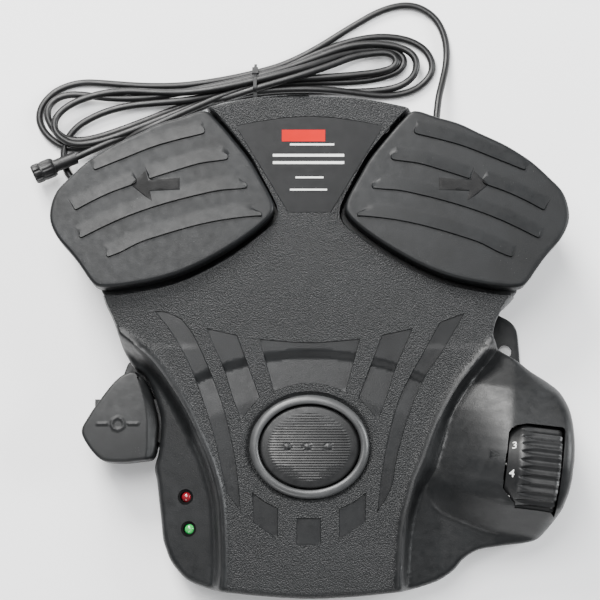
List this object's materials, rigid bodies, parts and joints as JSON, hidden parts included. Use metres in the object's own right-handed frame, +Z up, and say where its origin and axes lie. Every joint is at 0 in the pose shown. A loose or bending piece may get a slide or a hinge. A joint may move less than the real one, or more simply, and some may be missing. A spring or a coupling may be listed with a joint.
{
  "type": "trolling motor foot pedal",
  "caption": "Corded foot control for an electric outboard: two tilting steering pads, a round press button, a side key, a thumbwheel speed dial and a coiled lead with a connector.",
  "frame": {"origin": "centre of the pedal's footprint, on the floor it stands on, without its cable", "axes": "+X to the dial side, +Y towards the toe end with the two steering pads, +Z up"},
  "size_m": [0.3319, 0.3754, 0.066],
  "materials": {
    "housing_plastic": "moulded ABS, fine grain on the deck, smoother satin wings",
    "base_plastic": "moulded ABS, plain",
    "pedal_rubber": "moulded rubber-like cap with ribs",
    "trim_plastic": "satin moulded plastic",
    "dial_plastic": "satin fluted plastic with printed numbers",
    "label_film": "smooth printed film",
    "rubber": "soft rubber",
    "steel": "stainless",
    "switch_plastic": "moulded switch body",
    "pot_metal": "pressed can",
    "board_green": "solder mask",
    "brass": "turned",
    "red_lens": "tinted diffused lens, unlit",
    "green_lens": "tinted diffused lens, unlit",
    "cable_jacket": "PVC jacket, soft gloss",
    "plug_plastic": "moulded nylon"
  },
  "bodies": {
    "housing": {"top_housing": "housing_plastic", "base_plate": "base_plastic", "housing_gasket": "rubber", "rubber_feet": "rubber", "housing_screws": "steel", "deck_label": "label_film", "button_bezel": "trim_plastic", "button_spring": "steel", "left_pedal_spring": "steel", "right_pedal_spring": "steel", "left_hinge_pin": "steel", "right_hinge_pin": "steel", "left_steer_switch": "switch_plastic", "right_steer_switch": "switch_plastic", "momentary_switch": "switch_plastic", "con_switch": "switch_plastic", "con_key_pin": "steel", "con_key_spring": "steel", "red_led_lens": "red_lens", "green_led_lens": "green_lens", "led_bezels": "base_plastic", "led_board": "board_green", "main_pcb": "board_green", "pcb_screws": "steel", "board_header": "switch_plastic", "inner_lead": "cable_jacket", "dial_bush": "brass", "speed_pot": "pot_metal", "pot_bracket": "steel", "pot_nut": "steel", "cable_gland": "plug_plastic", "gland_nut": "plug_plastic", "cord_lead_out": "cable_jacket", "cord_hank": "cable_jacket", "cord_lead_plug": "cable_jacket", "hank_tie": "plug_plastic", "plug_body": "plug_plastic", "plug_nut": "plug_plastic", "plug_pins": "brass"},
    "left_pedal": {"left_pedal": "pedal_rubber", "left_plunger": "trim_plastic"},
    "right_pedal": {"right_pedal": "pedal_rubber", "right_plunger": "trim_plastic"},
    "round_button": {"momentary_button": "trim_plastic", "button_clip": "steel"},
    "side_key": {"con_key": "trim_plastic"},
    "dial": {"speed_dial": "dial_plastic", "dial_shaft": "steel"}
  },
  "joints": [
    {"name": "left_pedal_tilt", "type": "hinge", "parent": "housing", "child": "left_pedal", "pos_m": [-0.1023, 0.11075, 0.0485], "axis": [0.8615, 0.5077, 0], "range_deg": [0, 4.5], "stiffness_Nm_per_rad": 6, "springref_deg": -2.29, "deforming": ["left_pedal_spring"]},
    {"name": "right_pedal_tilt", "type": "hinge", "parent": "housing", "child": "right_pedal", "pos_m": [0.1023, 0.11075, 0.0485], "axis": [0.8615, -0.5077, 0], "range_deg": [0, 4.5], "stiffness_Nm_per_rad": 6, "springref_deg": -2.29, "deforming": ["right_pedal_spring"]},
    {"name": "round_button_press", "type": "slide", "parent": "housing", "child": "round_button", "axis": [0, 0.0802, -0.9968], "range_m": [0, 0.003], "stiffness_N_per_m": 700, "springref_m": -0.003, "deforming": ["button_spring"]},
    {"name": "side_key_press", "type": "hinge", "parent": "housing", "child": "side_key", "pos_m": [-0.082, -0.043, 0.021], "axis": [0, -1, 0], "range_deg": [0, 4], "stiffness_Nm_per_rad": 2.5, "springref_deg": -2.86},
    {"name": "speed_dial_turn", "type": "hinge", "parent": "housing", "child": "dial", "pos_m": [0.1324, -0.072, 0.0365], "axis": [0.9925, -0.1219, 0], "range_deg": [-162, 126]}
  ]
}
